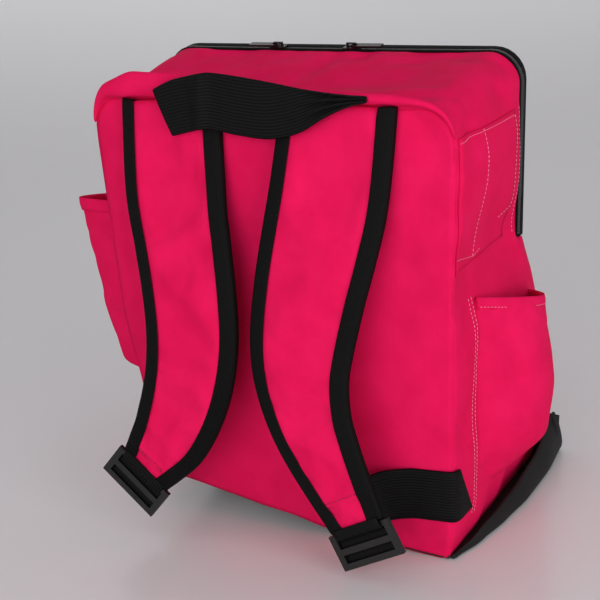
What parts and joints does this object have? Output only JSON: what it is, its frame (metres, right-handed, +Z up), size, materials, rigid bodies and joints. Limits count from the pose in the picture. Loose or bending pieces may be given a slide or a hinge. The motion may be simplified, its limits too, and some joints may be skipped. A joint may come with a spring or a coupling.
{
  "type": "ski boot bag",
  "caption": "Rucksack-style ski boot bag with padded shoulder straps, ladder-lock buckles, side pockets and a zipped front lid.",
  "frame": {"origin": "middle of the underside of the base panel, on the surface that the bag stands on", "axes": "+Z up; -Y out of the back panel with the shoulder straps; +Y out of the front lid; +X to the right as seen facing the straps"},
  "size_m": [0.4378, 0.3177, 0.4414],
  "materials": {
    "pink_pack_cloth": "coated woven nylon, matt",
    "black_webbing": "ribbed nylon webbing",
    "black_base_cloth": "coated heavy nylon",
    "black_zip_tape": "woven zip tape with a nylon coil",
    "black_acetal": "moulded",
    "black_zinc": "black plated die casting",
    "foam": "closed-cell foam",
    "plastic_board": "sheet"
  },
  "bodies": {
    "bag": {"back_panel": "pink_pack_cloth", "back_foam": "foam", "top_piping": "pink_pack_cloth", "top_gusset": "pink_pack_cloth", "left_gusset": "pink_pack_cloth", "right_gusset": "pink_pack_cloth", "base_panel": "black_base_cloth", "base_board": "plastic_board", "skid_flap": "black_base_cloth", "lower_front_panel": "pink_pack_cloth", "zip_tape_body": "black_zip_tape", "left_side_patch": "pink_pack_cloth", "right_side_patch": "pink_pack_cloth", "left_side_pocket": "pink_pack_cloth", "right_side_pocket": "pink_pack_cloth", "left_lower_webbing": "black_webbing", "right_lower_webbing": "black_webbing"},
    "lid": {"front_lid": "pink_pack_cloth", "zip_tape_lid": "black_zip_tape"},
    "left_slider": {"left_zip_slider": "black_zinc"},
    "right_slider": {"right_zip_slider": "black_zinc"},
    "left_pull": {"left_zip_pull": "black_zinc"},
    "right_pull": {"right_zip_pull": "black_zinc"},
    "left_strap": {"left_strap_lining": "pink_pack_cloth", "left_strap_foam": "foam", "left_strap_face": "pink_pack_cloth", "left_inner_binding": "black_webbing", "left_outer_binding": "black_webbing", "left_buckle_loop": "pink_pack_cloth"},
    "right_strap": {"right_strap_lining": "pink_pack_cloth", "right_strap_foam": "foam", "right_strap_face": "pink_pack_cloth", "right_inner_binding": "black_webbing", "right_outer_binding": "black_webbing", "right_buckle_loop": "pink_pack_cloth"},
    "left_buckle": {"left_ladder_lock": "black_acetal"},
    "right_buckle": {"right_ladder_lock": "black_acetal"},
    "handle": {"haul_handle": "black_webbing"}
  },
  "joints": [
    {"name": "lid_fold", "type": "hinge", "parent": "bag", "child": "lid", "pos_m": [0, 0.052, 0.262], "axis": [-1, 0, 0], "range_deg": [0, 120]},
    {"name": "zip_slide_left", "type": "slide", "parent": "bag", "child": "left_slider", "axis": [1, 0, 0], "range_m": [-0.072, 0.058]},
    {"name": "zip_slide_right", "type": "slide", "parent": "bag", "child": "right_slider", "axis": [1, 0, 0], "range_m": [-0.002, 0.128]},
    {"name": "left_pull_flip", "type": "hinge", "parent": "left_slider", "child": "left_pull", "pos_m": [-0.068, 0.0409, 0.43864], "axis": [0, 0.9821, 0.1882], "range_deg": [0, 150]},
    {"name": "right_pull_flip", "type": "hinge", "parent": "right_slider", "child": "right_pull", "pos_m": [0.012, 0.0409, 0.43864], "axis": [0, -0.9821, -0.1882], "range_deg": [0, 150]},
    {"name": "left_strap_swing", "type": "hinge", "parent": "bag", "child": "left_strap", "pos_m": [0, -0.1212, 0.398], "axis": [-1, 0, 0], "range_deg": [0, 15], "deforming": ["left_lower_webbing"]},
    {"name": "right_strap_swing", "type": "hinge", "parent": "bag", "child": "right_strap", "pos_m": [0, -0.1212, 0.398], "axis": [-1, 0, 0], "range_deg": [0, 15], "deforming": ["right_lower_webbing"]},
    {"name": "left_buckle_tilt", "type": "hinge", "parent": "left_strap", "child": "left_buckle", "pos_m": [-0.12439, -0.17535, 0.06518], "axis": [-0.7653, 0, 0.6436], "range_deg": [0, 40], "deforming": ["left_lower_webbing"]},
    {"name": "right_buckle_tilt", "type": "hinge", "parent": "right_strap", "child": "right_buckle", "pos_m": [0.10475, -0.1752, 0.04974], "axis": [-0.8823, 0, -0.4707], "range_deg": [0, 40], "deforming": ["right_lower_webbing"]},
    {"name": "handle_swing", "type": "hinge", "parent": "bag", "child": "handle", "pos_m": [0, -0.1259, 0.4196], "axis": [-1, 0, 0], "range_deg": [0, 100]}
  ]
}
